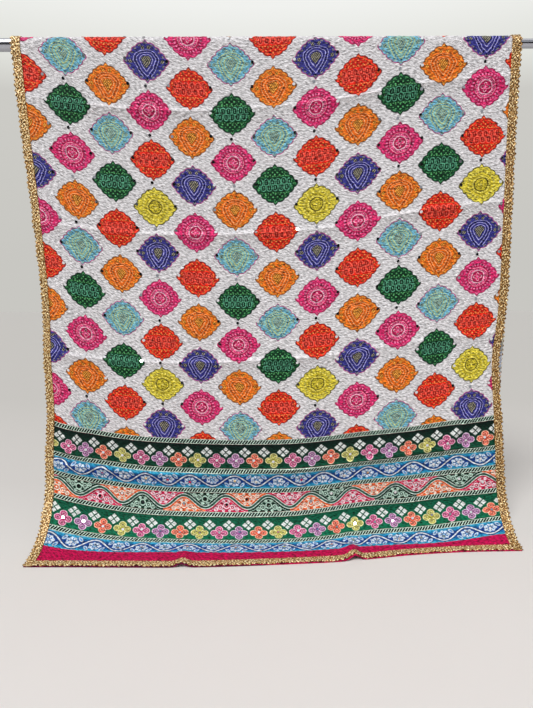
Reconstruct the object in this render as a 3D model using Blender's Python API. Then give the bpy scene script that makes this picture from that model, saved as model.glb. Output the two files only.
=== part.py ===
"""Printed mirror work stole, hung over a steel rod.

Metres, +Z up. The origin is the middle of the rod's axis. +X runs along the rod,
+Y runs from the front fall to the back fall. The stole is one cloth: its front fall
hangs from the rod and sweeps forward on the ground it touches, a short stretch lies
over the rod, and a shorter fall hangs free behind. A gold lace is sewn on the face,
along all four edges, and stands a little past them.
"""
import bpy
import numpy as np

# The rod: a wide tube, and a narrow one that slides out of its right end
ROD_DIAMETER = 0.022
NARROW_DIAMETER = 0.016
NARROW_FROM = 0.440
ROD_LENGTH = 1.200
ROD_SIDES = 32
ROD_CHAMFER = 0.0012

# The cut of the cloth and its lace
CLOTH_LENGTH = 1.830
CLOTH_WIDTH = 0.918
WALL = 0.0020
LACE_WIDTH = 0.018
LACE_OVERHANG = 0.003
LACE_THICKNESS = 0.0012
SEAM_GAP = 0.0003

# How the cloth hangs
CREST_TO_GROUND = 0.946
WRAP_RADIUS = ROD_DIAMETER / 2 + SEAM_GAP + WALL / 2
CREST_RISE = WRAP_RADIUS + WALL / 2
GROUND_DROP = CREST_TO_GROUND - CREST_RISE - WALL / 2
SIDE_DRIFT = 0.017
FOLD_GROWS_OVER = 0.35
ROD_FADE = 0.05

# The front fall, from the left edge to the right: how far the cloth reaches from its
# hem to the top of the rod, and the radius of its bend where it meets the ground
FRONT_SECTIONS = (
    # across, hem to crest, bend radius
    (-0.460, 1.030, 0.143),
    (-0.400, 1.038, 0.125),
    (-0.300, 1.050, 0.100),
    (-0.150, 1.057, 0.085),
    (0.000, 1.051, 0.080),
    (0.120, 1.041, 0.080),
    (0.260, 1.017, 0.082),
    (0.360, 1.004, 0.090),
    (0.460, 0.996, 0.101),
)

# The side edges, from the rod down: how far each is drawn in towards the middle
FRONT_EDGES = (
    # below the axis, left drawn in, right drawn in
    (0.000, 0.000, 0.000),
    (0.150, 0.005, 0.002),
    (0.320, 0.014, 0.002),
    (0.490, 0.018, 0.004),
    (0.580, 0.013, 0.013),
    (0.690, 0.010, 0.004),
    (0.790, -0.001, -0.005),
    (0.880, -0.001, -0.012),
    (0.990, 0.004, -0.006),
)
BACK_EDGES = (
    # below the axis, left drawn in, right drawn in
    (0.000, 0.000, 0.000),
    (0.150, 0.012, 0.002),
    (0.350, 0.024, 0.000),
    (0.550, 0.024, -0.006),
    (0.700, 0.018, 0.001),
    (0.820, 0.012, 0.004),
)
EDGE_PULL_STARTS = 0.250

# Soft upright folds: how far each stands out, its middle, its width and its reach
FRONT_FOLDS = (
    # across, depth, half width, starts below the axis
    (-0.395, 0.0060, 0.070, 0.20),
    (-0.215, 0.0045, 0.060, 0.30),
    (0.035, 0.0040, 0.080, 0.40),
    (0.245, 0.0050, 0.060, 0.30),
    (0.415, 0.0055, 0.050, 0.45),
)
BACK_FOLDS = (
    # across, depth, half width, starts below the axis
    (-0.360, 0.0060, 0.080, 0.05),
    (-0.130, 0.0048, 0.070, 0.15),
    (0.110, 0.0072, 0.090, 0.08),
    (0.330, 0.0054, 0.070, 0.12),
)

# Small tucks that lift the front hem off the ground
HEM_TUCKS = (
    # across, height, half width, reach up from the hem
    (-0.171, 0.007, 0.011, 0.090),
    (0.144, 0.010, 0.012, 0.110),
)

# Creases left by folding the stole in eight for its packet, up from the front hem
CREASES = (0.229, 0.456, 0.702, 0.926, 1.144, 1.372, 1.601)
CREASE_HEIGHT = 0.0055
CREASE_BELOW = 0.034
CREASE_ABOVE = 0.008
CREASE_LOW_FROM = 0.410
CREASE_LOW_OVER = 0.040

# How finely the surfaces are divided, and the columns on a tuck, in half widths of it
COLUMN_STEP = 0.042
BEND_ROW_STEP = 0.018
BEND_ROWS_END = 0.220
FALL_ROW_STEP = 0.046
TOP_ROWS = 3
WRAP_ROWS = 12
TUCK_COLUMNS = (-2.0, -0.9, 0.0, 0.9, 2.0)
TUCK_CLEARANCE = 2.6
CREASE_CLEARANCE = 0.008
NORMAL_STEP = 0.0001


def smooth_table(table, column, where):
    """Cubic curve through one column of a table, level past its ends."""
    stations = np.array([row[0] for row in table])
    values = np.array([row[column] for row in table])
    slopes = np.gradient(values, stations)
    where = np.clip(where, stations[0], stations[-1])
    left = np.clip(np.searchsorted(stations, where) - 1, 0, len(stations) - 2)
    span = stations[left + 1] - stations[left]
    part = (where - stations[left]) / span
    rise = part * part * (3 - 2 * part)
    leave = part * (1 - part) ** 2
    arrive = -part * part * (1 - part)
    ends = values[left] * (1 - rise) + values[left + 1] * rise
    return ends + span * (slopes[left] * leave + slopes[left + 1] * arrive)


def soft_step(value):
    """0 below 0, 1 above 1, smooth between."""
    value = np.clip(value, 0, 1)
    return value * value * (3 - 2 * value)


def fold_depth(folds, across, below):
    """How far the soft folds stand out: round humps that grow from where they start."""
    depth = np.zeros(np.broadcast(across, below).shape)
    for middle, height, half_width, starts in folds:
        grow = soft_step((below - starts) / FOLD_GROWS_OVER)
        depth = depth + height * grow * np.exp(-((across - middle) / half_width) ** 2)
    return depth


def crease_depth(across, along):
    """A ridge along each packet crease, steep above and gentle below, and low under the lace."""
    depth = np.zeros(np.broadcast(across, along).shape)
    strength = 1 - 0.7 * soft_step((np.abs(across) - CREASE_LOW_FROM) / CREASE_LOW_OVER)
    for crease in CREASES:
        past = along - crease
        above = np.clip(1 - past / CREASE_ABOVE, 0, 1) ** 2 * (past >= 0)
        under = np.clip(1 + past / CREASE_BELOW, 0, 1) ** 2 * (past < 0)
        depth = depth + CREASE_HEIGHT * strength * (above + under)
    return depth


def front_leaves_rod(across):
    """Distance from the front hem up to where the cloth meets the rod."""
    return smooth_table(FRONT_SECTIONS, 1, across) - CREST_RISE


def tuck_lift(across, along):
    """How far the tucks lift the cloth near the front hem."""
    lift = np.zeros(np.broadcast(across, along).shape)
    for middle, height, half_width, reach in HEM_TUCKS:
        fade = 1 - soft_step(along / reach)
        lift = lift + height * fade * np.exp(-((across - middle) / half_width) ** 2)
    return lift


def cloth_middle(across, along):
    """Points of the cloth's middle surface.

    across runs right from the middle of the width; along runs from the front hem up
    the front fall, over the rod and down the back fall.
    """
    leaves = front_leaves_rod(across)
    below_front = np.maximum(leaves - along, 0)
    below_back = np.maximum(along - leaves - np.pi * WRAP_RADIUS, 0)
    turn = np.clip((along - leaves) / WRAP_RADIUS, 0, np.pi)

    bend = smooth_table(FRONT_SECTIONS, 2, across)
    straight = GROUND_DROP - bend
    angle = np.clip((below_front - straight) / bend, 0, np.pi / 2)
    flat = np.maximum(below_front - straight - bend * np.pi / 2, 0)
    sweep = bend * (1 - np.cos(angle)) + flat
    down = np.minimum(below_front, straight) + bend * np.sin(angle)

    upright = np.cos(angle) ** 2
    crease = crease_depth(across, along)
    front_out = (fold_depth(FRONT_FOLDS, across, below_front) + crease) * upright
    front_out = front_out * soft_step(below_front / ROD_FADE)
    back_out = fold_depth(BACK_FOLDS, across, below_back) + crease
    back_out = back_out * soft_step(below_back / ROD_FADE)

    left_in = smooth_table(FRONT_EDGES, 1, below_front) + smooth_table(BACK_EDGES, 1, below_back)
    right_in = smooth_table(FRONT_EDGES, 2, below_front) + smooth_table(BACK_EDGES, 2, below_back)
    reach = CLOTH_WIDTH / 2 - EDGE_PULL_STARTS
    side = np.clip((np.abs(across) - EDGE_PULL_STARTS) / reach, 0, None) ** 2
    drawn = side * np.where(across < 0, left_in, -right_in)

    x = across + SIDE_DRIFT * (below_front + below_back) + drawn
    y = -WRAP_RADIUS * np.cos(turn) - sweep - front_out + back_out
    z = WRAP_RADIUS * np.sin(turn) - down - below_back + tuck_lift(across, along)
    return np.stack(np.broadcast_arrays(x, y, z), axis=-1)


def cloth_offset(across, along, out):
    """Points moved out of the middle surface by a distance, towards the printed face."""
    right = cloth_middle(across + NORMAL_STEP, along) - cloth_middle(across - NORMAL_STEP, along)
    onward = cloth_middle(across, along + NORMAL_STEP) - cloth_middle(across, along - NORMAL_STEP)
    normal = np.cross(right, onward)
    normal /= np.linalg.norm(normal, axis=-1, keepdims=True)
    return cloth_middle(across, along) + normal * out


def grid_triangles(rows, columns):
    """Corner numbers of two triangles for each cell of a grid."""
    corner = np.arange(rows * columns).reshape(rows, columns)
    a = corner[:-1, :-1].ravel()
    b = corner[:-1, 1:].ravel()
    c = corner[1:, 1:].ravel()
    d = corner[1:, :-1].ravel()
    return np.concatenate([np.stack([a, b, c], 1), np.stack([a, c, d], 1)])


def material(name, colour, roughness, metallic):
    """A plain finish."""
    finish = bpy.data.materials.new(name)
    finish.use_nodes = True
    shader = finish.node_tree.nodes["Principled BSDF"]
    shader.inputs["Base Color"].default_value = (*colour, 1.0)
    shader.inputs["Roughness"].default_value = roughness
    shader.inputs["Metallic"].default_value = metallic
    finish.diffuse_color = (*colour, 1.0)
    return finish


def build_wall(name, outer, inner, finish):
    """A closed wall between two grids of points, outer face first."""
    rows, columns = outer.shape[:2]
    count = rows * columns
    face = grid_triangles(rows, columns)
    back = face[:, ::-1] + count
    corner = np.arange(count).reshape(rows, columns)
    rim = np.concatenate([
        corner[0, :-1],
        corner[:-1, -1],
        corner[-1, :0:-1],
        corner[:0:-1, 0],
    ])
    after = np.roll(rim, -1)
    rim_low = np.stack([rim, rim + count, after + count], 1)
    rim_high = np.stack([rim, after + count, after], 1)
    faces = np.concatenate([face, back, rim_low, rim_high])
    points = np.concatenate([outer.reshape(-1, 3), inner.reshape(-1, 3)])
    mesh = bpy.data.meshes.new(name)
    mesh.from_pydata(points.tolist(), [], faces.tolist())
    mesh.materials.append(finish)
    mesh.shade_smooth()
    mesh.set_sharp_from_angle(angle=np.radians(50))
    wall = bpy.data.objects.new(name, mesh)
    bpy.context.scene.collection.objects.link(wall)
    return wall


def fall_stations(fine_to, length, creases, below, above):
    """Distances up from a hem, with rows on the lace's edge and over the slopes of each crease."""
    marks = [0.0, LACE_WIDTH - LACE_OVERHANG]
    station = marks[-1]
    while station + BEND_ROW_STEP < fine_to:
        station += BEND_ROW_STEP
        marks.append(station)
    station = marks[-1]
    while station + FALL_ROW_STEP < length:
        station += FALL_ROW_STEP
        marks.append(station)
    for crease in creases:
        if marks[0] < crease and crease + above < length:
            low = crease - below - CREASE_CLEARANCE
            high = crease + above + CREASE_CLEARANCE
            marks = [mark for mark in marks if not low < mark < high]
            marks += [crease - below, crease - below / 2, crease, crease + above / 2, crease + above]
    return np.array(sorted(marks))


def column_stations(tucks):
    """Distances across the cloth, with columns on the lace's edges and on the tucks."""
    half = CLOTH_WIDTH / 2
    inner = half - LACE_WIDTH + LACE_OVERHANG
    count = round(2 * inner / COLUMN_STEP)
    marks = list(np.linspace(-inner, inner, count + 1))
    for middle, _, half_width, _ in tucks:
        marks = [mark for mark in marks if abs(mark - middle) > TUCK_CLEARANCE * half_width]
        marks += [middle + step * half_width for step in TUCK_COLUMNS]
    return np.array([-half] + sorted(marks) + [half])


def along_front(across, past_hem):
    """Grid of along values for the front fall, from its hem to the rod."""
    top = front_leaves_rod(across) - SEAM_GAP / 2
    length = np.min(top) - FALL_ROW_STEP / 2
    marks = fall_stations(BEND_ROWS_END, length, CREASES, CREASE_BELOW, CREASE_ABOVE)
    if past_hem:
        marks = np.concatenate([[-LACE_OVERHANG], marks])
    steps = np.linspace(0, 1, TOP_ROWS + 1)[1:, None]
    return np.concatenate([marks[:, None] + 0 * across, marks[-1] + steps * (top - marks[-1])])


def along_over(across):
    """Grid of along values for the stretch over the rod."""
    start = front_leaves_rod(across) + SEAM_GAP / 2
    wrap = np.pi * WRAP_RADIUS - SEAM_GAP
    return start + np.linspace(0, wrap, WRAP_ROWS + 1)[:, None]


def along_back(across, past_hem):
    """Grid of along values for the back fall, from the rod to its hem."""
    top = front_leaves_rod(across) + np.pi * WRAP_RADIUS + SEAM_GAP / 2
    length = CLOTH_LENGTH - np.max(top) - FALL_ROW_STEP / 2
    from_hem = [CLOTH_LENGTH - crease for crease in CREASES]
    marks = fall_stations(0, length, from_hem, CREASE_ABOVE, CREASE_BELOW)
    marks = CLOTH_LENGTH - marks[::-1]
    if past_hem:
        marks = np.concatenate([marks, [CLOTH_LENGTH + LACE_OVERHANG]])
    steps = np.linspace(0, 1, TOP_ROWS + 1)[:-1, None]
    return np.concatenate([top + steps * (marks[0] - top), marks[:, None] + 0 * across])


def cloth_stretch(name, across, along, finish):
    """One stretch of the cloth, as a wall on both sides of its middle surface."""
    outer = cloth_offset(across, along, WALL / 2)
    inner = cloth_offset(across, along, -WALL / 2)
    return build_wall(name, outer, inner, finish)


def lace_stretch(name, across, along, finish):
    """A strip of lace on the cloth's face."""
    seat = WALL / 2 + SEAM_GAP
    outer = cloth_offset(across, along, seat + LACE_THICKNESS)
    inner = cloth_offset(across, along, seat)
    return build_wall(name, outer, inner, finish)


def build_cloth(finish):
    """The front fall, the stretch over the rod and the back fall."""
    fine = column_stations(HEM_TUCKS)
    plain = column_stations(())
    cloth_stretch("front_fall", fine, along_front(fine, False), finish)
    cloth_stretch("over_rod", plain, along_over(plain), finish)
    cloth_stretch("back_fall", plain, along_back(plain, False), finish)


def build_side_laces(finish):
    """Lace down the left and right edges, in the same stretches as the cloth."""
    half = CLOTH_WIDTH / 2
    inner = half - LACE_WIDTH + LACE_OVERHANG
    sides = {
        "left": np.array([-half - LACE_OVERHANG, -half, -inner]),
        "right": np.array([inner, half, half + LACE_OVERHANG]),
    }
    fine = column_stations(HEM_TUCKS)
    plain = column_stations(())
    for side, across in sides.items():
        edge = slice(0, 2) if side == "left" else slice(-2, None)
        front = along_front(fine, True)[:, edge]
        back = along_back(plain, True)[:, edge]
        middle = along_over(plain)[:, edge]
        stretches = {"front": front, "over": middle, "back": back}
        for stretch, grid in stretches.items():
            outside = grid[:, :1] if side == "left" else grid[:, -1:]
            parts = [outside, grid] if side == "left" else [grid, outside]
            along = np.concatenate(parts, axis=1)
            lace_stretch(f"{side}_lace_{stretch}", across, along, finish)


def build_hem_laces(finish):
    """Lace along the front and back hems, between the side laces."""
    inner = CLOTH_WIDTH / 2 - LACE_WIDTH + LACE_OVERHANG - SEAM_GAP
    rows = np.array([-LACE_OVERHANG, 0.0, LACE_WIDTH - LACE_OVERHANG])[:, None]
    fine = np.clip(column_stations(HEM_TUCKS)[1:-1], -inner, inner)
    lace_stretch("front_hem_lace", fine, rows + 0 * fine, finish)
    plain = np.clip(column_stations(())[1:-1], -inner, inner)
    lace_stretch("back_hem_lace", plain, CLOTH_LENGTH - rows[::-1] + 0 * plain, finish)


def build_rod(finish):
    """A round rod along X, in two widths, with flat, chamfered ends."""
    radius = ROD_DIAMETER / 2
    narrow = NARROW_DIAMETER / 2
    half = ROD_LENGTH / 2
    profile = (
        (-half, radius - ROD_CHAMFER),
        (-half + ROD_CHAMFER, radius),
        (NARROW_FROM - ROD_CHAMFER, radius),
        (NARROW_FROM, radius - ROD_CHAMFER),
        (NARROW_FROM, narrow),
        (half - ROD_CHAMFER, narrow),
        (half, narrow - ROD_CHAMFER),
    )
    turns = np.linspace(0, 2 * np.pi, ROD_SIDES, endpoint=False)
    points = []
    for x, ring_radius in profile:
        for turn in turns:
            points.append((x, ring_radius * np.cos(turn), ring_radius * np.sin(turn)))
    faces = []
    for ring in range(len(profile) - 1):
        for side in range(ROD_SIDES):
            after = (side + 1) % ROD_SIDES
            low = ring * ROD_SIDES
            high = low + ROD_SIDES
            faces.append((low + side, high + side, high + after, low + after)[::-1])
    last = (len(profile) - 1) * ROD_SIDES
    faces.append(list(range(ROD_SIDES))[::-1])
    faces.append(list(range(last, last + ROD_SIDES)))
    mesh = bpy.data.meshes.new("rod")
    mesh.from_pydata(points, [], faces)
    mesh.materials.append(finish)
    mesh.shade_smooth()
    mesh.set_sharp_from_angle(angle=np.radians(30))
    rod = bpy.data.objects.new("rod", mesh)
    bpy.context.scene.collection.objects.link(rod)


def main():
    for old in list(bpy.data.objects):
        bpy.data.objects.remove(old)
    build_rod(material("polished steel", (0.55, 0.56, 0.60), 0.18, 1.0))
    build_cloth(material("crinkled printed cotton", (0.86, 0.84, 0.85), 0.80, 0.0))
    gold = material("gold lace", (0.62, 0.42, 0.15), 0.40, 0.7)
    build_side_laces(gold)
    build_hem_laces(gold)


main()
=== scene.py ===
"""Looks of a printed mirror work stole that hangs over a polished steel rod.

Metres, +Z up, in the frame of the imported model. The cloth is one surface with two
parameters: across, from the middle of its width, and along, from the front hem up the
front fall, over the rod and down the back fall. Everything sewn on it is placed by them.
"""

import bpy
import numpy as np
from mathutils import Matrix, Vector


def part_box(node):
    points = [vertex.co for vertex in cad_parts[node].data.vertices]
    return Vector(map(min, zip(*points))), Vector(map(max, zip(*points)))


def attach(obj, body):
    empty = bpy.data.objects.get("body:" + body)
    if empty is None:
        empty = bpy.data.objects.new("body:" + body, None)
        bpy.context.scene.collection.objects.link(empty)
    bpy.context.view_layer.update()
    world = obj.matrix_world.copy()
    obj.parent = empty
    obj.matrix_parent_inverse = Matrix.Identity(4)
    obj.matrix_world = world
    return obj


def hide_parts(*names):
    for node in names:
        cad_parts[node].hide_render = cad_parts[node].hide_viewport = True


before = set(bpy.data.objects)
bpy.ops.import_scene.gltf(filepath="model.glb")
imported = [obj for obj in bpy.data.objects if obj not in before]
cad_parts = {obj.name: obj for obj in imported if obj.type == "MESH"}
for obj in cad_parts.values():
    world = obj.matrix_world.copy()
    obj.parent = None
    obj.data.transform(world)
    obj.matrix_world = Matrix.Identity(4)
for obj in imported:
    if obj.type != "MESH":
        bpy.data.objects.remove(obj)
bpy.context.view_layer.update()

bl_info = {
    "name": "Mirror work stole",
    "version": (1, 0, 0),
    "blender": (4, 5, 0),
    "location": "3D View > Sidebar > Stole",
    "description": "Builds a crinkled, printed stole with gota lace and foil mirrors on its rod",
    "category": "Object",
}

ROD_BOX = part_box("rod")

# How the cloth hangs, the same as in the solids
CLOTH_LENGTH = 1.830
CLOTH_WIDTH = 0.918
SOLID_WALL = 0.0020
SEAM_GAP = 0.0003
CREST_TO_GROUND = 0.946
WRAP_RADIUS = ROD_BOX[1].z + SEAM_GAP + SOLID_WALL / 2
CREST_RISE = WRAP_RADIUS + SOLID_WALL / 2
GROUND_DROP = CREST_TO_GROUND - CREST_RISE - SOLID_WALL / 2
SIDE_DRIFT = 0.017
FOLD_GROWS_OVER = 0.35
ROD_FADE = 0.05
FRONT_SECTIONS = (
    # across, hem to crest, bend radius
    (-0.460, 1.030, 0.143),
    (-0.400, 1.038, 0.125),
    (-0.300, 1.050, 0.100),
    (-0.150, 1.057, 0.085),
    (0.000, 1.051, 0.080),
    (0.120, 1.041, 0.080),
    (0.260, 1.017, 0.082),
    (0.360, 1.004, 0.090),
    (0.460, 0.996, 0.101),
)
FRONT_EDGES = (
    # below the axis, left drawn in, right drawn in
    (0.000, 0.000, 0.000),
    (0.150, 0.005, 0.002),
    (0.320, 0.014, 0.002),
    (0.490, 0.018, 0.004),
    (0.580, 0.013, 0.013),
    (0.690, 0.010, 0.004),
    (0.790, -0.001, -0.005),
    (0.880, -0.001, -0.012),
    (0.990, 0.004, -0.006),
)
BACK_EDGES = (
    # below the axis, left drawn in, right drawn in
    (0.000, 0.000, 0.000),
    (0.150, 0.012, 0.002),
    (0.350, 0.024, 0.000),
    (0.550, 0.024, -0.006),
    (0.700, 0.018, 0.001),
    (0.820, 0.012, 0.004),
)
EDGE_PULL_STARTS = 0.250
FRONT_FOLDS = (
    # across, depth, half width, starts below the axis
    (-0.395, 0.0060, 0.070, 0.20),
    (-0.215, 0.0045, 0.060, 0.30),
    (0.035, 0.0040, 0.080, 0.40),
    (0.245, 0.0050, 0.060, 0.30),
    (0.415, 0.0055, 0.050, 0.45),
)
BACK_FOLDS = (
    # across, depth, half width, starts below the axis
    (-0.360, 0.0060, 0.080, 0.05),
    (-0.130, 0.0048, 0.070, 0.15),
    (0.110, 0.0072, 0.090, 0.08),
    (0.330, 0.0054, 0.070, 0.12),
)
HEM_TUCKS = (
    # across, height, half width, reach up from the hem
    (-0.171, 0.007, 0.011, 0.090),
    (0.144, 0.010, 0.012, 0.110),
)
NORMAL_STEP = 0.0001

# The packet creases, by their place along the cloth. Every second one ends a stretch of it
CREASES = (0.229, 0.456, 0.702, 0.926, 1.144, 1.372, 1.601)
SEAMS = (0.0, CREASES[1], CREASES[3], CREASES[5], CLOTH_LENGTH)
CREASE_HEIGHT = 0.0055
CREASE_BELOW = 0.034
CREASE_ABOVE = 0.008
CREASE_DRIFT = 0.0012
# They grow low under the lace, from this far across and over this width
LOW_FROM = 0.41
LOW_OVER = 0.04
# How much closer the grid's rows lie at a crease, and over what length
CREASE_ROWS = 1.4
CREASE_ROWS_REACH = 0.007

# The crinkle: waves of these lengths along and across the cloth, on a shell this far off
# the back of the solid
CRINKLE_SEED = 5
CRINKLE_WAVES = 22
CRINKLE_ALONG = (0.0052, 0.0085)
CRINKLE_ACROSS = (0.010, 0.026)
REVERSE_LIFT = 0.00005

# Tucks and soft wrinkles laid on that form, ridges up and troughs down
WRINKLES = (
    # across and along of one end, of the other end, half width, height
    (0.437, 0.322, 0.322, 0.206, 0.0070, 0.0034),
    (0.452, 0.290, 0.352, 0.196, 0.0090, -0.0026),
    (-0.446, 0.272, -0.352, 0.236, 0.0060, 0.0026),
    (-0.440, 0.246, -0.372, 0.222, 0.0070, -0.0018),
    (-0.420, 0.176, -0.338, 0.190, 0.0060, 0.0026),
    (0.142, 0.758, 0.150, 0.700, 0.0050, 0.0016),
    (0.300, 0.560, 0.330, 0.480, 0.0120, -0.0014),
    (-0.250, 0.830, -0.200, 0.742, 0.0140, 0.0015),
    (0.060, 0.430, -0.010, 0.330, 0.0160, -0.0018),
    (-0.100, 0.640, -0.140, 0.500, 0.0180, 0.0016),
    (0.200, 0.900, 0.240, 0.770, 0.0150, -0.0012),
    (-0.360, 0.610, -0.420, 0.500, 0.0120, 0.0020),
    (-0.400, 1.330, -0.300, 1.250, 0.0090, 0.0026),
    (0.380, 1.480, 0.290, 1.390, 0.0090, 0.0028),
    (0.010, 1.290, 0.060, 1.180, 0.0160, -0.0020),
    (-0.160, 1.560, -0.100, 1.470, 0.0140, 0.0022),
    (0.420, 1.700, 0.330, 1.760, 0.0080, 0.0026),
    (-0.440, 1.720, -0.360, 1.660, 0.0080, 0.0024),
)
# Shares of a wrinkle's length: how far it bows, and how far its ends fade
WRINKLE_BOW = 0.12
WRINKLE_FADE = 0.35

# The lace's strip and grid, its plait and the cord along its scallops
LACE_LIFT = 0.00045
LACE_THICKNESS = 0.0013
LACE_ROW = 0.00105
LACE_SHARES = (0, 0.10, 0.24, 0.38, 0.52, 0.66, 0.80, 0.90, 1.0)
PLAIT_PITCH = 0.0054
PLAIT_WIDTH = 0.0090
PLAIT_HEIGHT = 0.00045
CORD_HEIGHT = 0.00080
CORD_INSET = 0.0017
CORD_HALF_WIDTH = 0.0011
# It cockles up and sways aside by sums of this many waves, of these lengths
LACE_SWINGS = 9
COCKLE = 0.00030
COCKLE_RAISED = 2.2
COCKLE_WAVES = (0.012, 0.060)
SWAY = 0.00022
SWAY_WAVES = (0.020, 0.120)

# How the mirrors lie: their drift off the print's places, and their lean in degrees
MIRROR_SIDES = 14
MIRROR_SEED = 21
MIRROR_DRIFT = 0.0011
MIRROR_LEAN = 6.0
MIRROR_MARGIN = 0.018
# Off a medallion's middle, in millimetres: its left tip, its right tip and its foot
MIRROR_TIPS = ((-38.5, 3.0), (38.5, 3.5), (-3.0, -41.75))

# The print's sizes, in millimetres
COLUMN_PITCH = 77.3
ROW_PITCH = 85.5
FIRST_COLUMN = 12.2
FIRST_ROW = 320.8
MEDALLION_WIDTH = 88.0
MEDALLION_HEIGHT = 70.0
ROUNDNESS = 1.42
SHOULDER = 0.42
BORDER_TOP = 298.0
BORDER_REPEAT = 151.0
WAVE_BAND = (147.0, 195.0)
WAVE_MIDDLE = 166.0
VINE_MIDDLE = 60.0
FLOWER_FOOT = 86.0
STRIPE_MIDDLES = (81.0, 142.0, 190.0)
FLOWER_PITCH = 38.65
VINE_PITCH = 90.2
VINE_START = 8.6
WAVE_PITCH = 86.0
WAVE_START = -14.5
# How the press moved the print, in metres, and where the rise near the hem turns into the
# one near the rod
PRINT_TURNS_FROM = 0.25
PRINT_TURNS_OVER = 0.65
PRINT_RISE = (
    # across, how far up the print lies near the front hem, and near the rod
    (-0.459, 0.023, 0.006),
    (-0.390, 0.0145, 0.005),
    (-0.300, 0.006, 0.004),
    (-0.190, 0.004, 0.004),
    (-0.080, -0.001, -0.002),
    (0.020, -0.005, -0.003),
    (0.160, -0.007, 0.001),
    (0.290, -0.014, -0.005),
    (0.370, -0.012, -0.010),
    (0.459, -0.008, -0.011),
)
PULLS = (
    # across and along of its middle, half width, half length, how far right, how far up
    (-0.340, 0.640, 0.170, 0.260, 0.0115, 0.0),
    (-0.360, 0.950, 0.120, 0.120, 0.0060, 0.0),
    (-0.360, 0.170, 0.120, 0.120, 0.0050, 0.0),
    (0.150, 0.060, 0.450, 0.100, 0.0080, 0.0),
    (0.280, 0.550, 0.120, 0.250, 0.0030, 0.0),
    (-0.225, 0.370, 0.090, 0.060, 0.0, 0.0030),
    (-0.010, 0.600, 0.080, 0.110, 0.0014, -0.0028),
    (0.180, 0.080, 0.110, 0.090, 0.0, 0.0055),
    (-0.430, 0.275, 0.055, 0.070, 0.0100, -0.0050),
    (-0.420, 0.030, 0.100, 0.060, 0.0, -0.0090),
    (0.440, 0.040, 0.060, 0.050, 0.0, 0.0080),
)

# The four rows of colourways that repeat down the cloth, each across four columns
COLOURWAY_ROWS = (
    ("pink", "cyan", "red", "blue"),
    ("blue", "orange", "green", "yellow"),
    ("orange", "pink", "cyan", "red"),
    ("red", "green", "orange", "pink"),
)
COLOURWAYS = {
    # outline, ground, second ground, fine lines, deep lines, small spots
    "pink": ("#B01C5C", "#EE3478", "#E22C6C", "#FFC8DC", "#A00C44", "#FF90C0"),
    "red": ("#8A1814", "#FF3420", "#FA2614", "#FF6C58", "#8C0202", "#FF9450"),
    "orange": ("#7E5426", "#FF8426", "#F6721A", "#FFB878", "#B84C04", "#F2BC50"),
    "yellow": ("#5A5824", "#F0DE4A", "#E8D43E", "#56521C", "#C6B630", "#F8EC7C"),
    "green": ("#06281C", "#0C502E", "#083E24", "#62B48E", "#000E06", "#60B870"),
    "cyan": ("#BC4C84", "#7CC4DE", "#90C8C4", "#CCD07C", "#5490B0", "#B8C480"),
    "blue": ("#BC5C90", "#3E3E94", "#36368A", "#BCB8F4", "#0E0E46", "#B0AA80"),
}
# Which of the three insides each has: rings of petals, drops, or arches between dots
INSIDES = {
    "pink": 0.0, "yellow": 0.0, "blue": 0.5, "orange": 0.5, "cyan": 0.5, "red": 1.0, "green": 1.0,
}
FLOWER_COLOURS = (
    # petals, drops in the petals, outline
    ("#BEB84C", "#8A8A34", "#F4F0B4"),
    ("#CC3A7C", "#9A1450", "#FFCCE0"),
    ("#A8609C", "#5E2660", "#F0D4EC"),
    ("#F0583C", "#B83020", "#FFCCB0"),
)
WAVE_COLOURS = (
    # fill, threads
    ("#04301F", "#C4E4D2"),
    ("#F2682E", "#FFEEDC"),
    ("#D81C52", "#FFE0E8"),
)
WAVE_RINGS = (
    # aside from the fill's middle, up from its foot, radius
    (0.0, 12.8, 5.6),
    (12.2, 9.4, 4.4),
    (21.2, 5.2, 3.2),
    (6.2, 2.6, 1.8),
    (5.4, 21.4, 2.0),
)

# The stage. The cards are what the mirrors and the rod show: the end of the room behind the
# camera and a soft box overhead, in metres, where brightness is 0 for an unlit card
CARDS = (
    # left, right, y and z of one edge, y and z of the other edge, brightness
    (-3.2, -1.75, -3.4, -0.93, -3.4, 1.50, 0.0),
    (-1.05, 1.05, -3.4, -0.93, -3.4, 1.50, 0.0),
    (1.75, 3.2, -3.4, -0.93, -3.4, 1.50, 0.0),
    (-3.2, 3.2, -3.4, 1.50, -3.4, 2.80, 0.8),
    (-1.6, 1.6, -0.85, 1.50, 1.10, 1.50, 1.0),
)
SQUARE = np.array([(0, 1, 2), (0, 2, 3)])
FLOOR_WAYS = ((-1, -1), (1, -1), (1, 1), (-1, 1))
FLOOR_REACH = 6.0
FLOOR_GAP = 0.0004
KEY_LIGHT_WAY = (0.30, 0.62, -1.0)


def linear(hex_colour):
    """An sRGB hex colour as linear red, green, blue and full alpha."""
    parts = [int(hex_colour[place:place + 2], 16) / 255 for place in (1, 3, 5)]
    parts = [part / 12.92 if part < 0.04045 else ((part + 0.055) / 1.055) ** 2.4 for part in parts]
    return (*parts, 1.0)


def smooth_table(table, column, where):
    """Cubic curve through one column of a table, level past its ends."""
    stations = np.array([row[0] for row in table])
    values = np.array([row[column] for row in table])
    slopes = np.gradient(values, stations)
    where = np.clip(where, stations[0], stations[-1])
    left = np.clip(np.searchsorted(stations, where) - 1, 0, len(stations) - 2)
    span = stations[left + 1] - stations[left]
    part = (where - stations[left]) / span
    rise = part * part * (3 - 2 * part)
    leave = part * (1 - part) ** 2
    arrive = -part * part * (1 - part)
    ends = values[left] * (1 - rise) + values[left + 1] * rise
    return ends + span * (slopes[left] * leave + slopes[left + 1] * arrive)


def soft_step(value):
    """0 below 0, 1 above 1, smooth between."""
    value = np.clip(value, 0, 1)
    return value * value * (3 - 2 * value)


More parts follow.
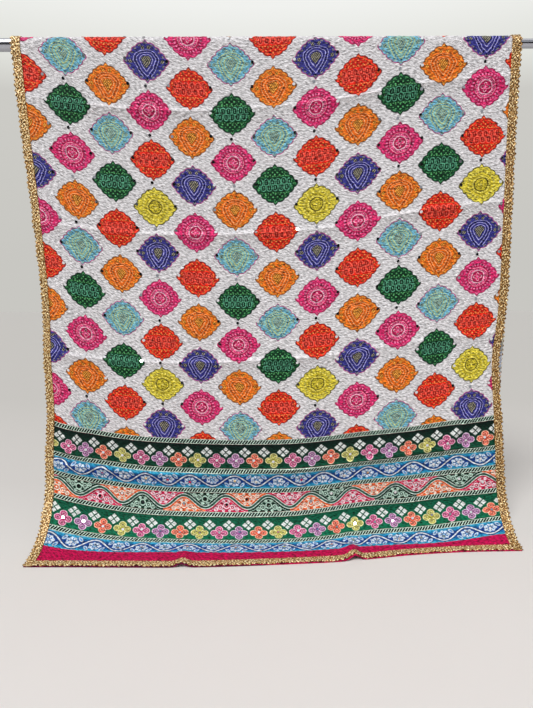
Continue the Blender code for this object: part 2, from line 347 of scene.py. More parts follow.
def bells(table, across, share):
    """The sum of round humps across the cloth, each by the share of its height that shows.

    The share is worked out from the last value of the hump's row.
    """
    return sum(height * share(last) * np.exp(-((across - middle) / half_width) ** 2)
               for middle, height, half_width, last in table)


def fold_depth(folds, across, below):
    """How far the soft folds stand out: humps that grow from where they start."""
    return bells(folds, across, lambda starts: soft_step((below - starts) / FOLD_GROWS_OVER))


def tuck_lift(across, along):
    """How far the tucks lift the cloth near the front hem."""
    return bells(HEM_TUCKS, across, lambda reach: 1 - soft_step(along / reach))


def crease_depth(across, along):
    """A ridge along each packet crease, steep above and gentle below.

    Its height and its place drift a little across the cloth, as pressed folds do, and it
    is low under the lace.
    """
    depth = np.zeros(np.broadcast(across, along).shape)
    for number, crease in enumerate(CREASES):
        place = crease + CREASE_DRIFT * np.sin(9 * across + 2 * number)
        strength = 1 + 0.25 * np.sin(13 * across + 1.7 * number) + 0.15 * np.sin(41 * across + number)
        strength = strength * (1 - 0.7 * soft_step((np.abs(across) - LOW_FROM) / LOW_OVER))
        past = along - place
        above = np.clip(1 - past / CREASE_ABOVE, 0, 1) ** 2 * (past >= 0)
        under = np.clip(1 + past / CREASE_BELOW, 0, 1) ** 2 * (past < 0)
        depth = depth + CREASE_HEIGHT * strength * (above + under)
    return depth


def wrinkle_depth(across, along):
    """Sum of the hand-laid wrinkles: a bell across each line, faded out at its ends."""
    depth = np.zeros(np.broadcast(across, along).shape)
    for x0, s0, x1, s1, half_width, height in WRINKLES:
        run = np.hypot(x1 - x0, s1 - s0)
        part = ((across - x0) * (x1 - x0) + (along - s0) * (s1 - s0)) / run ** 2
        aside = ((across - x0) * (s1 - s0) - (along - s0) * (x1 - x0)) / run
        bow = aside - WRINKLE_BOW * run * (0.25 - (np.clip(part, 0, 1) - 0.5) ** 2)
        fade = soft_step(part / WRINKLE_FADE) * soft_step((1 - part) / WRINKLE_FADE)
        depth = depth + height * fade * np.exp(-(bow / half_width) ** 2)
    return depth


def front_leaves_rod(across):
    """Distance from the front hem up to where the cloth meets the rod."""
    return smooth_table(FRONT_SECTIONS, 1, across) - CREST_RISE


def cloth_middle(across, along):
    """Points of the cloth's middle surface.

    The front fall drops straight, turns through a quarter circle of the bend radius
    and runs flat to its hem. Over the rod it is half a circle, and the back drops
    straight. Folds, creases and wrinkles move it out, and the edges are drawn in.
    """
    leaves = front_leaves_rod(across)
    below_front = np.maximum(leaves - along, 0)
    below_back = np.maximum(along - leaves - np.pi * WRAP_RADIUS, 0)
    turn = np.clip((along - leaves) / WRAP_RADIUS, 0, np.pi)

    bend = smooth_table(FRONT_SECTIONS, 2, across)
    straight = GROUND_DROP - bend
    angle = np.clip((below_front - straight) / bend, 0, np.pi / 2)
    flat = np.maximum(below_front - straight - bend * np.pi / 2, 0)
    sweep = bend * (1 - np.cos(angle)) + flat
    down = np.minimum(below_front, straight) + bend * np.sin(angle)

    upright = np.cos(angle) ** 2
    fine = crease_depth(across, along) + wrinkle_depth(across, along)
    front_out = (fold_depth(FRONT_FOLDS, across, below_front) + fine) * upright
    front_out = front_out * soft_step(below_front / ROD_FADE)
    back_out = fold_depth(BACK_FOLDS, across, below_back) + fine
    back_out = back_out * soft_step(below_back / ROD_FADE)

    left_in = smooth_table(FRONT_EDGES, 1, below_front) + smooth_table(BACK_EDGES, 1, below_back)
    right_in = smooth_table(FRONT_EDGES, 2, below_front) + smooth_table(BACK_EDGES, 2, below_back)
    reach = CLOTH_WIDTH / 2 - EDGE_PULL_STARTS
    side = np.clip((np.abs(across) - EDGE_PULL_STARTS) / reach, 0, None) ** 2
    drawn = side * np.where(across < 0, left_in, -right_in)

    lying = wrinkle_depth(across, along) * (1 - upright) * (along < leaves)
    x = across + SIDE_DRIFT * (below_front + below_back) + drawn
    y = -WRAP_RADIUS * np.cos(turn) - sweep - front_out + back_out
    z = WRAP_RADIUS * np.sin(turn) - down - below_back + tuck_lift(across, along)
    z = z + np.maximum(lying, 0)
    return np.stack(np.broadcast_arrays(x, y, z), axis=-1)


def cloth_frame(across, along):
    """Points of the middle surface with unit vectors to the right, onward and out."""
    right = cloth_middle(across + NORMAL_STEP, along) - cloth_middle(across - NORMAL_STEP, along)
    onward = cloth_middle(across, along + NORMAL_STEP) - cloth_middle(across, along - NORMAL_STEP)
    out = np.cross(right, onward)
    ways = [way / np.linalg.norm(way, axis=-1, keepdims=True) for way in (right, onward, out)]
    return cloth_middle(across, along), *ways


def cloth_offset(across, along, out):
    """Points moved out of the middle surface, towards the printed face."""
    place, _, _, normal = cloth_frame(across, along)
    return place + normal * np.asarray(out)[..., None]


def crinkle(across, along, seed, waves):
    """Height of the crinkle, about -1 to 1.

    The sum of plane waves whose crests run nearly across the cloth: each has its own
    length, lean and start, drawn once from the seed, and three in four run down to the
    right. A packet crease presses it nearly flat.
    """
    draw = np.random.default_rng(seed)
    height = np.zeros(np.broadcast(across, along).shape)
    for number in range(waves):
        length_along = draw.uniform(*CRINKLE_ALONG)
        length_across = (-1 if number % 4 == 0 else 1) * draw.uniform(*CRINKLE_ACROSS)
        start = draw.uniform(0, 2 * np.pi)
        height = height + np.sin(2 * np.pi * (along / length_along + across / length_across) + start)
    pressed = sum(np.exp(-((along - crease - 0.001) / 0.005) ** 2) for crease in CREASES)
    return height / np.sqrt(waves) * (1 - 0.75 * pressed)


def print_place(across, along):
    """Where a place of the cloth lies in the print, as across and up from the front hem.

    The press that crinkled the cloth drew it unevenly: the print lies higher on the left
    than on the right, and each pull moves it right and up by a bell round its middle.
    """
    near_rod = soft_step((along - PRINT_TURNS_FROM) / PRINT_TURNS_OVER)
    rise = smooth_table(PRINT_RISE, 1, across) * (1 - near_rod)
    rise = rise + smooth_table(PRINT_RISE, 2, across) * near_rod
    x = across + 0 * along
    y = along - rise
    for middle, height, half_width, half_length, right, up in PULLS:
        bell = np.exp(-((across - middle) / half_width) ** 2 - ((along - height) / half_length) ** 2)
        x = x - right * bell
        y = y - up * bell
    return x, y


def cloth_place(x, y):
    """The place of the cloth that has this place of the print, found by closing in on it."""
    across, along = x, y
    for _ in range(8):
        found_x, found_y = print_place(across, along)
        across, along = across + x - found_x, along + y - found_y
    return across, along


def triangles(*groups):
    """Faces from groups of three: each group gives the corner numbers of a row of triangles."""
    return np.concatenate([np.stack(np.broadcast_arrays(*group), 1) for group in groups])


def grid_faces(rows, columns, first=0):
    """Corner numbers of two triangles for each cell of a grid."""
    corner = first + np.arange(rows * columns).reshape(rows, columns)
    a, b = corner[:-1, :-1].ravel(), corner[:-1, 1:].ravel()
    c, d = corner[1:, 1:].ravel(), corner[1:, :-1].ravel()
    return triangles((a, b, c), (a, c, d))


def rim_loop(rows, columns, first=0):
    """Corner numbers once round the edge of a grid."""
    corner = first + np.arange(rows * columns).reshape(rows, columns)
    return np.concatenate([corner[0, :-1], corner[:-1, -1], corner[-1, :0:-1], corner[:0:-1, 0]])


def add_piece(name, points, faces, materials, face_material=None, uv=None, sharp=55):
    """A mesh object at the origin, made of triangles, with a map in metres where one is given.

    Edges that turn by more than sharp, in degrees, aren't shaded smooth.
    """
    mesh = bpy.data.meshes.new(name)
    mesh.vertices.add(len(points))
    mesh.vertices.foreach_set("co", np.ascontiguousarray(points, dtype=np.float32).ravel())
    mesh.loops.add(faces.size)
    mesh.loops.foreach_set("vertex_index", faces.ravel().astype(np.int32))
    mesh.polygons.add(len(faces))
    mesh.polygons.foreach_set("loop_start", np.arange(0, faces.size, 3, dtype=np.int32))
    if face_material is not None:
        mesh.polygons.foreach_set("material_index", face_material.astype(np.int32))
    mesh.update(calc_edges=True)
    if uv is not None:
        layer = mesh.uv_layers.new(name="Cut")
        layer.data.foreach_set("uv", uv[faces.ravel()].astype(np.float32).ravel())
    for material in materials:
        mesh.materials.append(material)
    mesh.shade_smooth()
    mesh.set_sharp_from_angle(angle=np.radians(sharp))
    mesh.validate()
    piece = bpy.data.objects.new(name, mesh)
    bpy.context.scene.collection.objects.link(piece)
    return piece


def add_shell(name, outer, inner, flat, materials):
    """A closed shell: a fine outer grid over an inner grid of every second row and column.

    flat holds the outer grid's places in the cut. The rim has three triangles for each
    inner step, which takes up two outer steps.
    """
    rows, columns = outer.shape[:2]
    coarse = inner[::2, ::2]
    few_rows, few_columns = coarse.shape[:2]
    count = rows * columns
    face = grid_faces(rows, columns)
    back = grid_faces(few_rows, few_columns, count)[:, ::-1]
    outer_rim = rim_loop(rows, columns)
    inner_rim = rim_loop(few_rows, few_columns, count)
    a, b, c = outer_rim[0::2], outer_rim[1::2], np.roll(outer_rim, -2)[0::2]
    low, high = inner_rim, np.roll(inner_rim, -1)
    rim = triangles((a, low, b), (b, low, high), (b, high, c))
    points = np.concatenate([outer.reshape(-1, 3), coarse.reshape(-1, 3)])
    uv = np.concatenate([flat.reshape(-1, 2), flat[::2, ::2].reshape(-1, 2)])
    faces = np.concatenate([face, back, rim])
    sides = np.concatenate([np.zeros(len(face)), np.ones(len(back)), np.zeros(len(rim))])
    return add_piece(name, points, faces, materials, np.minimum(sides, len(materials) - 1), uv)


def as_colour(value):
    """A linear colour, from a hex colour or from the number of a grey. A colour stays."""
    if isinstance(value, str):
        return linear(value)
    return (value, value, value, 1.0) if isinstance(value, float) else value


def set_inputs(tree, node, inputs):
    """Links each of these inputs of a node to a socket, or gives it a value or a hex colour."""
    for place, value in inputs.items():
        if isinstance(value, Number):
            value = value.socket
        if isinstance(value, bpy.types.NodeSocket):
            tree.links.new(value, node.inputs[place])
        else:
            node.inputs[place].default_value = linear(value) if isinstance(value, str) else value


def add_node(tree, kind, inputs=None, **settings):
    """A node with its inputs and its settings, and for a colour ramp its stops."""
    node = tree.nodes.new(kind)
    for name, value in settings.items():
        if name == "stops":
            marks = node.color_ramp.elements
            while len(marks) < len(value):
                marks.new(1.0)
            for mark, (place, colour) in zip(marks, value):
                mark.position = place
                mark.color = as_colour(colour)
        elif name == "stepped":
            node.color_ramp.interpolation = "CONSTANT" if value else "LINEAR"
        else:
            setattr(node, name, value)
    set_inputs(tree, node, inputs or {})
    return node


class Number:
    """A number that changes over the surface: arithmetic with it adds Math nodes.

    A cover is such a number from 0 to 1: a & b is where both hold, a | b where one or the
    other does, and ~a where a doesn't.
    """

    def __init__(self, tree, socket):
        self.tree = tree
        self.socket = socket

    def math(self, operation, *others, clamp=False):
        inputs = dict(enumerate((self, *others)))
        node = add_node(self.tree, "ShaderNodeMath", inputs, operation=operation, use_clamp=clamp)
        return Number(self.tree, node.outputs[0])

    def __add__(self, other):
        return self.math("ADD", other)

    def __sub__(self, other):
        return self.math("SUBTRACT", other)

    def __mul__(self, other):
        return self.math("MULTIPLY", other)

    def __truediv__(self, other):
        return self.math("DIVIDE", other)

    def __abs__(self):
        return self.math("ABSOLUTE")

    def __lt__(self, other):
        return self.math("LESS_THAN", other)

    def __gt__(self, other):
        return self.math("GREATER_THAN", other)

    def __and__(self, other):
        return self * other

    def __or__(self, other):
        return self.math("MAXIMUM", other)

    def __invert__(self):
        return self * -1 + 1

    def wrap(self, half):
        """The distance from the nearest of a row of places that are twice half apart."""
        return self.math("WRAP", half, -half)

    def under(self, edge, soft):
        """1 where this is below the edge and 0 above it, over a soft width."""
        return self.math("MULTIPLY_ADD", -1 / soft, edge / soft + 0.5, clamp=True)

    def near(self, place, half, soft):
        """1 within half of a place, and 0 away from it."""
        return abs(self - place).under(half, soft)

    def along_with(self, other):
        """The length of the straight line with these two as its sides."""
        return (self * self + other * other).math("SQRT")

    def pick(self, stops, stepped=False):
        """The colour that a table gives for this number, from 0 to 1."""
        ramp = add_node(self.tree, "ShaderNodeValToRGB", {0: self}, stops=stops, stepped=stepped)
        return ramp.outputs[0]

    def choose(self, colours):
        """One of a row of colours, each over an equal part of 0 to 1."""
        return self.pick([(place / len(colours), colour) for place, colour in enumerate(colours)], True)


def numbers(tree, kind, value):
    """What a node that takes a value apart gives, as numbers."""
    return [Number(tree, socket) for socket in add_node(tree, kind, {0: value}).outputs]


class Paint:
    """A colour that is laid over step by step."""

    def __init__(self, tree, colour):
        self.tree = tree
        self.colour = colour

    def lay(self, colour, cover):
        """Lays a colour where cover is 1."""
        inputs = {0: cover, 6: self.colour, 7: colour}
        self.colour = add_node(self.tree, "ShaderNodeMix", inputs, data_type="RGBA").outputs[2]


def paint_medallions(tree, cut, u, v):
    """The field: medallions in staggered columns on a pale ground.

    Two lattices, half a pitch apart, give each place the centre that is nearer by the
    sum of its shares of the half width and half height. The outline is a rounded
    diamond, |x|^1.42 + |y|^1.42, with four scallops in each quarter, a deeper notch at its
    shoulder and a point at its top and foot. Inside, lines follow rings of petals, drops,
    or arches between rows of dots. Lengths are in millimetres.
    """
    half_width, half_height = MEDALLION_WIDTH / 2, MEDALLION_HEIGHT / 2
    spots = []
    for shift in (0.0, 1.0):
        x = (u - (FIRST_COLUMN + shift * COLUMN_PITCH)).wrap(COLUMN_PITCH)
        y = (v - (FIRST_ROW + (1 - shift) * ROW_PITCH / 2)).wrap(ROW_PITCH / 2)
        spots.append((x, y, abs(x) / half_width + abs(y) / half_height))
    (xa, ya, reach_a), (xb, yb, reach_b) = spots
    nearer = reach_b < reach_a
    x = nearer.math("MULTIPLY_ADD", xb - xa, xa)
    y = nearer.math("MULTIPLY_ADD", yb - ya, ya)
    column = ((u - x - FIRST_COLUMN) / COLUMN_PITCH + 2.5).math("FLOOR").math("FLOORED_MODULO", 4)
    row = ((v - y - FIRST_ROW) / ROW_PITCH + 0.25).math("FLOOR").math("FLOORED_MODULO", 4)
    cell = (column + row * 4 + 0.5) / 16
    ways = [way for colourway_row in COLOURWAY_ROWS for way in colourway_row]
    parts = zip(*[COLOURWAYS[way] for way in ways])
    outline, ground, second, line, deep, spot = [cell.choose(colours) for colours in parts]
    inside = Number(tree, cell.choose([INSIDES[way] for way in ways]))

    wide, high = abs(x) / half_width, abs(y) / half_height
    reach = (wide.math("POWER", ROUNDNESS) + high.math("POWER", ROUNDNESS)).math("POWER", 1 / ROUNDNESS)
    quarter = high.math("ARCTAN2", wide) / (np.pi / 2)
    scallop = abs(((quarter - SHOULDER) * (4 * np.pi)).math("SINE"))
    notch = quarter.near(SHOULDER, 0.04, 0.10)
    tip = (quarter * 15 - 14).math("MAXIMUM", 0)
    fuller = (quarter * (2 * np.pi)).math("SINE") * -0.03 + 0.937
    share = reach / (fuller + scallop * 0.055 - notch * 0.025 + tip * 0.10)

    # The lines waver as block-printed ones do, mostly by less than a millimetre
    waver = add_node(tree, "ShaderNodeTexNoise", {0: cut, 2: 100.0, 3: 1.0}, noise_dimensions="2D")
    parts = numbers(tree, "ShaderNodeSeparateColor", waver.outputs[1])
    x, y = [way + part * 3.0 - 1.5 for way, part in zip((x, y), parts)]
    # Lines are placed by a radius: round, or drawn out to a point below
    turn = y.math("ARCTAN2", x)
    radius = x.along_with(y * 1.06)
    low = y < 3
    power = low * -0.75 + 2
    tall = (y - 3) * (low * -0.77 + 1.40)
    sides = abs(x).math("POWER", power) + abs(tall).math("POWER", power)
    drop = sides.math("POWER", power.math("POWER", -1))
    beads = (turn * 26).math("COSINE") > 0
    stripes = (x * 1.7 - y * 1.2).math("SINE") > 0
    quatrefoil = radius / ((turn * 4).math("COSINE") * 0.26 + 0.74)
    leaf = (abs(x) - 30.0).along_with(y).under(3.6, 0.8)
    leaves = leaf | (abs(x) - 6.0).along_with(y - 24.0).under(3.4, 0.8)
    belt = abs(y).under(14.0, 0.8) & abs(x).under(30.0, 0.8)
    arch_x = ((y > 0) * 5.5 + x).wrap(5.5)
    arch = arch_x.along_with((abs(y) - 7.0).math("MAXIMUM", 0))
    stem = abs(arch_x).under(0.8, 0.7) & abs(y).near(5.0, 2.5, 0.8)
    dots = (x + y).wrap(4.4).along_with((x - y).wrap(4.4)).under(2.0, 1.4)
    # Each of the three insides gives a cover for its fine lines, its deep lines and its spots
    rings = (
        quatrefoil.near(8.0, 0.80, 0.5)
        | radius.near(12.6, 0.95, 0.6) | radius.near(18.6, 0.5, 0.6) * 0.7,
        radius.near(9.6, 1.2, 0.8) * 0.8 | (beads & radius.near(23.5, 3.4, 0.8)) * 0.7,
        quatrefoil.under(2.6, 0.8)
        | (~beads & (radius.near(15.4, 1.2, 0.8) | radius.near(24.5, 1.8, 0.8) * 0.8)),
    )
    drops = (
        drop.near(23.4, 0.6, 0.6) | drop.near(18.0, 0.6, 0.6) | drop.near(12.2, 0.65, 0.6),
        (~beads & drop.near(20.7, 1.5, 0.6)) | (stripes & (drop.under(10.0, 0.8) | leaves)),
        (~stripes & (drop.under(9.0, 0.8) | leaves)) * 0.9,
    )
    arches = (
        belt & (arch.near(4.1, 0.75, 0.6) | stem | abs(y).near(0, 0.5, 0.6)),
        (belt & arch.under(3.2, 0.6)) * 0.65 | ~belt * 0.35,
        (~belt & dots) | (abs(y).near(15.2, 0.8, 0.6) & ((x * 1.3).math("SINE") > -0.2)),
    )
    is_rings = inside < 0.25
    is_arches = inside > 0.75
    is_drops = ~(is_rings + is_arches)
    line_cover, deep_cover, spot_cover = [
        first * is_rings + second_one * is_drops + third * is_arches
        for first, second_one, third in zip(rings, drops, arches)
    ]

    inner = share.under(0.82, 0.03)
    rim_dots = ((quarter * (10 * np.pi)).math("COSINE") > 0.1) & share.near(0.87, 0.035, 0.03)
    paint = Paint(tree, ground)
    paint.lay(second, share.under(0.70, 0.04))
    paint.lay(deep, deep_cover & inner)
    paint.lay(line, line_cover & inner)
    paint.lay(spot, spot_cover & inner)
    paint.lay(deep, share.near(0.82, 0.016, 0.02) * 0.7)
    paint.lay(spot, rim_dots * 0.6)
    paint.lay(outline, (share * -1).under(-0.945, 0.04))
    return paint.colour, share.under(1.0, 0.04)


def paint_flowers(tree, u, hem, height):
    """A green band: four-petal flowers below, white diamonds of four rhombs above.

    A petal is a circle round a place 0.56 of the way out, 0.44 wide, in shares of the
    flower's half width and half height. A rhomb is where the shares of the diamond's,
    less half on its own side, add to under 0.41.
    """
    x = abs(u.wrap(FLOWER_PITCH / 2)) / 17.4
    y = abs(height - 17.0) / 15.2
    cell = ((u / FLOWER_PITCH + 0.5).math("FLOOR").math("FLOORED_MODULO", 4) + 0.5) / 4
    petals, drops, outline = [cell.choose(colours) for colours in zip(*FLOWER_COLOURS)]
    share = (x - 0.56).along_with(y).math("MINIMUM", x.along_with(y - 0.56)) / 0.44
    wide = abs((u + FLOWER_PITCH / 2).wrap(FLOWER_PITCH / 2)) / 13.5
    high = abs(height - 34.5) / 12.5
    rhomb = (abs(wide - 0.5) + high).math("MINIMUM", wide + abs(high - 0.5) + 0.05)
    # Painted light and shade: the green ground is lighter near the hem and grows darker up the border, so
    # the upper band is darker than the lower
    greens_with_painted_shade = [(0.29, "#077450"), (0.45, "#05583E"), (0.79, "#044C34"), (0.95, "#031E18")]
    paint = Paint(tree, (hem / 300).pick(greens_with_painted_shade))
    paint.lay("#F2F8F4", rhomb.under(0.41, 0.08))
    paint.lay("#A88C9C", rhomb.under(0.08, 0.10) * 0.4)
    paint.lay(outline, share.under(1.0, 0.10))
    paint.lay(petals, share.under(0.78, 0.10))
    paint.lay(outline, share.under(0.48, 0.10) * 0.6)
    paint.lay(drops, share.under(0.28, 0.12) * 0.8)
    paint.lay(petals, x.along_with(y).under(0.26, 0.05))
    return paint.colour


def paint_vine(tree, u, height):
    """A blue band: a pale stem on a cosine, rosettes in its bays and leaves at its crossings."""
    turn = (u - VINE_START) * (2 * np.pi / VINE_PITCH)
    bend = turn.math("COSINE")
    lean = turn.math("SINE")
    blues = [(0.0, "#0F4496"), (0.40, "#12529E"), (0.72, "#2090C4"), (1.0, "#4CBCD6")]
    paint = Paint(tree, (abs(height) / 16).pick(blues))
    stem = (height - bend * 11.5) / (lean * lean * 0.6 + 1).math("SQRT")
    paint.lay("#082C74", stem.near(0, 3.0, 1.0))
    x = (u - VINE_START).wrap(VINE_PITCH / 4)
    y = bend * 2.5 + height
    lobes = (y.math("ARCTAN2", x) * 7).math("COSINE")
    share = (x / 13.0).along_with(y / 9.6) / (lobes * 0.10 + 0.90)
    paint.lay("#DCEBFA", share.under(1.0, 0.12))
    paint.lay("#94C4E6", share.under(0.82, 0.12))
    paint.lay("#2A62AE", share.near(0.62, 0.16, 0.08) & (lobes < -0.45))
    paint.lay("#F2F8FF", share.near(0.58, 0.19, 0.08) & (lobes > 0.0))
    paint.lay("#123E8C", share.near(0.30, 0.07, 0.08))
    leaf_x = (u - VINE_START - VINE_PITCH / 4).wrap(VINE_PITCH / 4)
    side = leaf_x * height * lean > 0
    along_leaf = abs(leaf_x) + abs(height) - 15.5
    across_leaf = abs(leaf_x) - abs(height) + 1.5
    leaf = (along_leaf / 9.0).along_with(across_leaf / 4.6)
    paint.lay("#D4E6F6", leaf.under(1.0, 0.25) & side)
    paint.lay("#5C98D4", leaf.under(0.55, 0.25) & side)
    paint.lay("#EEF6FC", stem.near(0, 1.25, 0.8))
    return paint.colour


def paint_wave(tree, u, height):
    """The middle band: a double line on a cosine, mounds under it and hanging fills over it.

    In each fill, rings with seeds in them stand on its side of the band, smaller towards
    its ends, and a scalloped fringe follows the line.
    """
    turn = (u - WAVE_START) * (2 * np.pi / WAVE_PITCH)
    lean = turn.math("SINE")
    line = (height - turn.math("COSINE") * 12.0 - 1.0) / (lean * lean * 0.77 + 1).math("SQRT")
    over = line > 0
    order = over.math("MULTIPLY_ADD", -0.5, (u - WAVE_START) / WAVE_PITCH + 0.5)
    fill = ((over * 2 + order.math("FLOOR")).math("FLOORED_MODULO", 3) + 0.5) / 3
    grounds, threads = [fill.choose(colours) for colours in zip(*WAVE_COLOURS)]
    x = abs((order.math("FRACT") - 0.5) * WAVE_PITCH)
    foot = (over * -2 + 1) * height + 19.0
    cover = (abs(line) - abs((turn * 9).math("SINE")) * 1.2).near(6.6, 0.45, 0.5)
    for aside, up, radius in WAVE_RINGS:
        away = (x - aside).along_with(foot - up)
        cover = cover | away.near(radius, 1.15, 0.5) | away.under(radius * 0.34, 0.6)
    paint = Paint(tree, grounds)
    paint.lay(threads, cover)
    paint.lay("#DCEEE4", line.near(0, 3.4, 0.5))
    paint.lay("#2A5A48", line.near(0, 1.9, 0.5))
    return paint.colour


def paint_border(tree, u, hem):
    """The border, in bands up from the hem. The bands below the wave band come again above it."""
    upper = hem > WAVE_BAND[1]
    place = upper.math("MULTIPLY_ADD", -BORDER_REPEAT, hem)
    paint = Paint(tree, "#C80A50")
    paint.lay("#70083A", hem < 0)
    paint.lay(paint_vine(tree, u, place - VINE_MIDDLE), place.near(VINE_MIDDLE, 16.0, 0.6))
    flowers = paint_flowers(tree, u, hem, place - FLOWER_FOOT)
    paint.lay(flowers, place.near(FLOWER_FOOT + 25.5, 25.5, 0.6))
    paint.lay(paint_wave(tree, u, hem - WAVE_MIDDLE), hem.near(WAVE_MIDDLE, 19.0, 0.6))
    dash = (u - hem * 0.75).wrap(2.85).near(0, 1.95, 0.3)
    for middle in STRIPE_MIDDLES:
        away = abs(place - middle)
        paint.lay("#DCFCE8", away.under(4.7, 0.4))
        paint.lay("#000604", away.under(3.8, 0.4) & dash)
    return paint.colour


def make_print():
    """The printed pattern as a node group, from the cut's own map to a colour."""
    tree = bpy.data.node_groups.new("stole print", "ShaderNodeTree")
    tree.interface.new_socket("Cut", in_out="INPUT", socket_type="NodeSocketVector")
    tree.interface.new_socket("Colour", in_out="OUTPUT", socket_type="NodeSocketColor")
    cut = add_node(tree, "NodeGroupInput").outputs[0]
    x, y, _ = numbers(tree, "ShaderNodeSeparateXYZ", cut)
    u, v = x * 1000, y * 1000
    hem = v.math("MINIMUM", v * -1 + CLOTH_LENGTH * 1000)
    medallions, cover = paint_medallions(tree, cut, u, v)
    paint = Paint(tree, "#F0EDEF")
    paint.lay(medallions, cover)
    paint.lay(paint_border(tree, u, hem), hem.under(BORDER_TOP, 0.6))
    add_node(tree, "NodeGroupOutput", {0: paint.colour})
    return tree


def new_material(name):
    """An empty material with its shader, and the tree they are in."""
    material = bpy.data.materials.new(name)
    material.use_nodes = True
    tree = material.node_tree
    tree.nodes.clear()
    shader = add_node(tree, "ShaderNodeBsdfPrincipled")
    add_node(tree, "ShaderNodeOutputMaterial", {0: shader.outputs[0]})
    return material, tree, shader


def cotton_material(pattern, reverse):
    """Screen-printed cotton, embossed into a crinkle.

    Thread gives soft, even light, and the hot press leaves small smooth facets with a
    slight gloss that catch it. On the reverse the print shows through pale.
    """
    name = "crinkled cotton reverse" if reverse else "crinkled printed cotton"
    material, tree, shader = new_material(name)
    cut = add_node(tree, "ShaderNodeUVMap", uv_map="Cut").outputs[0]
    # The press leaves dashes about 7 mm long and 5 mm apart, most of them leaning down to the right
    heights = []
    for lean, dash in ((-27, (0.0072, 0.0025, 1.0)), (-5, (0.0070, 0.0026, 1.0))):
        inputs = {0: cut, 2: (0, 0, np.radians(lean)), 3: dash}
        place = add_node(tree, "ShaderNodeMapping", inputs, vector_type="TEXTURE").outputs[0]
        inputs = {0: place, 2: 1.0, 3: 1.0, 4: 0.5}
        noise = add_node(tree, "ShaderNodeTexNoise", inputs, noise_dimensions="2D")
        heights.append(Number(tree, noise.outputs[0]))
    relief = (heights[0] + heights[1]) * 0.5
    printed = add_node(tree, "ShaderNodeGroup", {0: cut}, node_tree=pattern).outputs[0]
    # Painted shade and highlight of the crinkle: the relief that bumps the cloth also darkens the print
    # in its troughs and lightens it on its crests, more on colours than on the white ground
    red, green, blue = numbers(tree, "ShaderNodeSeparateColor", printed)
    white = red.math("MINIMUM", green).math("MINIMUM", blue)
    painted_crinkle_shade = ((relief - 0.5) * (white * -1.7 + 3.20) + 0.84).math("MINIMUM", 1.3)
    grey = add_node(tree, "ShaderNodeCombineColor", {0: painted_crinkle_shade, 1: painted_crinkle_shade, 2: painted_crinkle_shade}).outputs[0]
    inputs = {0: 1.0, 6: printed, 7: grey}
    print_with_painted_shade = add_node(tree, "ShaderNodeMix", inputs, data_type="RGBA", blend_type="MULTIPLY").outputs[2]
    if reverse:
        inputs = {0: 0.55, 6: print_with_painted_shade, 7: "#E4DFE2"}
        print_with_painted_shade = add_node(tree, "ShaderNodeMix", inputs, data_type="RGBA").outputs[2]
    bump = add_node(tree, "ShaderNodeBump", {0: 1.0, 1: 0.0045, 3: relief}).outputs[0]
    set_inputs(tree, shader, {"Base Color": print_with_painted_shade, "Normal": bump,
                              "Roughness": 0.60, "Specular IOR Level": 0.14})
    return material


def lace_material(lift):
    """Gota lace, woven of metallised yarn over polyester. Lift is painted light: the lace is paler where
    lift is more and darker where it is less.

    Flat metal strips in the weave give a broken gold between dull threads, and their glints are painted
    into the colour up to a pale cream.
    """
    material, tree, shader = new_material("woven gota lace")
    cut = add_node(tree, "ShaderNodeUVMap", uv_map="Cut").outputs[0]
    x, y, _ = numbers(tree, "ShaderNodeSeparateXYZ", cut)
    w, s = x * 1000, y * 1000
    # The plait's strands slant one way and then the other, as the strip's own do
    half, half_width = PLAIT_PITCH * 500, PLAIT_WIDTH * 500
    plait = abs((abs(w.wrap(half_width)) + s).wrap(half)) / half
    # Flat metal strips lie every way between the dull threads, drawn 3 mm long to show. This noise gives
    # both their gold and their painted glints
    grain = add_node(tree, "ShaderNodeMapping", {0: cut, 3: (380.0, 290.0, 1.0)}).outputs[0]
    inputs = {0: grain, 2: 1.0, 3: 1.5, 4: 0.6}
    sparkle = add_node(tree, "ShaderNodeTexNoise", inputs, noise_dimensions="2D")
    glint = Number(tree, sparkle.outputs[0])
    tone = glint * 2.7 + plait * 0.30 + lift - 1.02
    colour = tone.pick([(0.20, "#5A3A12"), (0.42, "#A87834"), (0.60, "#D8A860"), (0.85, "#FFF0C0")])
    bump = add_node(tree, "ShaderNodeBump", {0: 1.0, 1: 0.0016, 3: glint}).outputs[0]
    set_inputs(tree, shader, {"Base Color": colour, "Normal": bump, "Metallic": 0.30, "Roughness": 0.40})
    return material


def foil_material():
    """Silvered foil discs: they show what is before them, bright or dark."""
    material, tree, shader = new_material("silvered mirror foil")
    place = add_node(tree, "ShaderNodeTexCoord").outputs["Object"]
    film = add_node(tree, "ShaderNodeTexNoise", {0: place, 2: 400.0})
    rough = Number(tree, film.outputs[0]) * 0.08 + 0.03
    set_inputs(tree, shader, {"Base Color": "#E6E8EC", "Metallic": 1.0, "Roughness": rough})
    return material


def steel_material():
    """Polished stainless steel tube: bright, with hair lines round it from the polishing belt."""
    material, tree, shader = new_material("polished stainless steel")
    place = add_node(tree, "ShaderNodeTexCoord").outputs["Object"]
    rings = add_node(tree, "ShaderNodeMapping", {0: place, 3: (900.0, 12.0, 12.0)}).outputs[0]
    lines = add_node(tree, "ShaderNodeTexNoise", {0: rings, 2: 1.0, 3: 3.0})
    rough = Number(tree, lines.outputs[0]) * 0.12 + 0.10
    set_inputs(tree, shader, {"Base Color": "#B4B5BC", "Metallic": 1.0, "Roughness": rough})
    return material


